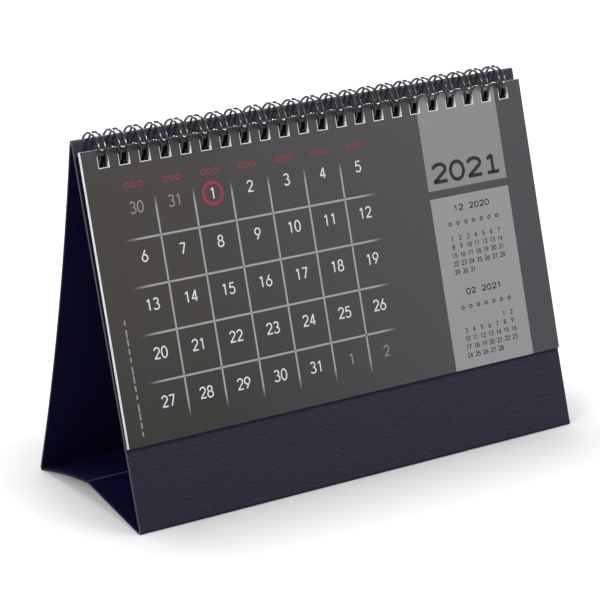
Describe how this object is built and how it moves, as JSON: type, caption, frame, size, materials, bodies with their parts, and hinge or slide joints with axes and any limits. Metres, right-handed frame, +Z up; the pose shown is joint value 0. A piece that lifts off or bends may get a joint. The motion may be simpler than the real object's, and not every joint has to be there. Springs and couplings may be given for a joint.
{
  "type": "desk calendar",
  "caption": "Free-standing tent of folded dark card that carries printed month leaves on a twin-loop wire along its apex; the leaves turn over and the stand folds flat.",
  "frame": {"origin": "on the floor, under the apex, at mid width", "axes": "+X along the wire, left to right as the front leaf is read; +Y from the front foot to the rear foot; +Z up"},
  "size_m": [0.196, 0.08, 0.1408],
  "materials": {
    "navy_card": "fine leather-like texture, matt",
    "black_wire": "glossy black coat on steel wire",
    "printed_leaf": "dark grey print on white paper, satin"
  },
  "bodies": {
    "front_panel": {"front_panel": "navy_card"},
    "rear_panel": {"rear_panel": "navy_card"},
    "base_front_flap": {"base_front_flap": "navy_card"},
    "base_rear_flap": {"base_rear_flap": "navy_card"},
    "binding_wire": {"binding_wire": "black_wire"},
    "month_leaf_01": {"month_leaf_01": "printed_leaf"},
    "month_leaf_02": {"month_leaf_02": "printed_leaf"},
    "month_leaf_03": {"month_leaf_03": "printed_leaf"},
    "month_leaf_04": {"month_leaf_04": "printed_leaf"},
    "month_leaf_05": {"month_leaf_05": "printed_leaf"},
    "month_leaf_06": {"month_leaf_06": "printed_leaf"},
    "month_leaf_07": {"month_leaf_07": "printed_leaf"},
    "month_leaf_08": {"month_leaf_08": "printed_leaf"},
    "month_leaf_09": {"month_leaf_09": "printed_leaf"},
    "month_leaf_10": {"month_leaf_10": "printed_leaf"},
    "month_leaf_11": {"month_leaf_11": "printed_leaf"},
    "month_leaf_12": {"month_leaf_12": "printed_leaf"}
  },
  "joints": [
    {"name": "stand_fold", "type": "hinge", "parent": "front_panel", "child": "rear_panel", "pos_m": [0, 0, 0.1378], "axis": [-1, 0, 0], "range_deg": [0, 26], "deforming": ["base_rear_flap"]},
    {"name": "front_flap_fold", "type": "hinge", "parent": "front_panel", "child": "base_front_flap", "pos_m": [0, -0.039, 0.00095], "axis": [1, 0, 0], "range_deg": [0, 60.72]},
    {"name": "rear_flap_fold", "type": "hinge", "parent": "rear_panel", "child": "base_rear_flap", "pos_m": [0, 0.039, 0.00095], "axis": [-1, 0, 0], "range_deg": [0, 53.41]},
    {"name": "month_leaf_01_turn", "type": "hinge", "parent": "front_panel", "child": "month_leaf_01", "pos_m": [0, 0, 0.13345], "axis": [-1, 0, 0], "range_deg": [0, 195]},
    {"name": "month_leaf_02_turn", "type": "hinge", "parent": "front_panel", "child": "month_leaf_02", "pos_m": [0, 0, 0.13345], "axis": [-1, 0, 0], "range_deg": [0, 160]},
    {"name": "month_leaf_03_turn", "type": "hinge", "parent": "front_panel", "child": "month_leaf_03", "pos_m": [0, 0, 0.13345], "axis": [-1, 0, 0], "range_deg": [0, 125]},
    {"name": "month_leaf_04_turn", "type": "hinge", "parent": "front_panel", "child": "month_leaf_04", "pos_m": [0, 0, 0.13345], "axis": [-1, 0, 0], "range_deg": [0, 90]},
    {"name": "month_leaf_05_turn", "type": "hinge", "parent": "front_panel", "child": "month_leaf_05", "pos_m": [0, 0, 0.13345], "axis": [-1, 0, 0], "range_deg": [0, 56]},
    {"name": "month_leaf_06_turn", "type": "hinge", "parent": "front_panel", "child": "month_leaf_06", "pos_m": [0, 0, 0.13345], "axis": [-1, 0, 0], "range_deg": [0, 49]},
    {"name": "month_leaf_07_turn", "type": "hinge", "parent": "front_panel", "child": "month_leaf_07", "pos_m": [0, 0, 0.13345], "axis": [-1, 0, 0], "range_deg": [0, 42]},
    {"name": "month_leaf_08_turn", "type": "hinge", "parent": "front_panel", "child": "month_leaf_08", "pos_m": [0, 0, 0.13345], "axis": [-1, 0, 0], "range_deg": [0, 35]},
    {"name": "month_leaf_09_turn", "type": "hinge", "parent": "front_panel", "child": "month_leaf_09", "pos_m": [0, 0, 0.13345], "axis": [-1, 0, 0], "range_deg": [0, 28]},
    {"name": "month_leaf_10_turn", "type": "hinge", "parent": "front_panel", "child": "month_leaf_10", "pos_m": [0, 0, 0.13345], "axis": [-1, 0, 0], "range_deg": [0, 21]},
    {"name": "month_leaf_11_turn", "type": "hinge", "parent": "front_panel", "child": "month_leaf_11", "pos_m": [0, 0, 0.13345], "axis": [-1, 0, 0], "range_deg": [0, 14]},
    {"name": "month_leaf_12_turn", "type": "hinge", "parent": "front_panel", "child": "month_leaf_12", "pos_m": [0, 0, 0.13345], "axis": [-1, 0, 0], "range_deg": [0, 7]},
    {"name": "wire_turn", "type": "hinge", "parent": "front_panel", "child": "binding_wire", "pos_m": [0, 0, 0.13345], "axis": [-1, 0, 0], "range_deg": [0, 195]}
  ],
  "couplings": [
    {"joint": "front_flap_fold", "follows": "stand_fold", "ratio": 2.335},
    {"joint": "rear_flap_fold", "follows": "stand_fold", "ratio": 2.054},
    {"joint": "wire_turn", "follows": "month_leaf_01_turn", "ratio": 1},
    {"joint": "month_leaf_02_turn", "follows": "month_leaf_01_turn", "ratio": 0.82051},
    {"joint": "month_leaf_03_turn", "follows": "month_leaf_01_turn", "ratio": 0.64102},
    {"joint": "month_leaf_04_turn", "follows": "month_leaf_01_turn", "ratio": 0.46154},
    {"joint": "month_leaf_05_turn", "follows": "month_leaf_01_turn", "ratio": 0.28718},
    {"joint": "month_leaf_06_turn", "follows": "month_leaf_01_turn", "ratio": 0.25128},
    {"joint": "month_leaf_07_turn", "follows": "month_leaf_01_turn", "ratio": 0.21538},
    {"joint": "month_leaf_08_turn", "follows": "month_leaf_01_turn", "ratio": 0.17949},
    {"joint": "month_leaf_09_turn", "follows": "month_leaf_01_turn", "ratio": 0.14359},
    {"joint": "month_leaf_10_turn", "follows": "month_leaf_01_turn", "ratio": 0.10769},
    {"joint": "month_leaf_11_turn", "follows": "month_leaf_01_turn", "ratio": 0.071794},
    {"joint": "month_leaf_12_turn", "follows": "month_leaf_01_turn", "ratio": 0.035897}
  ]
}
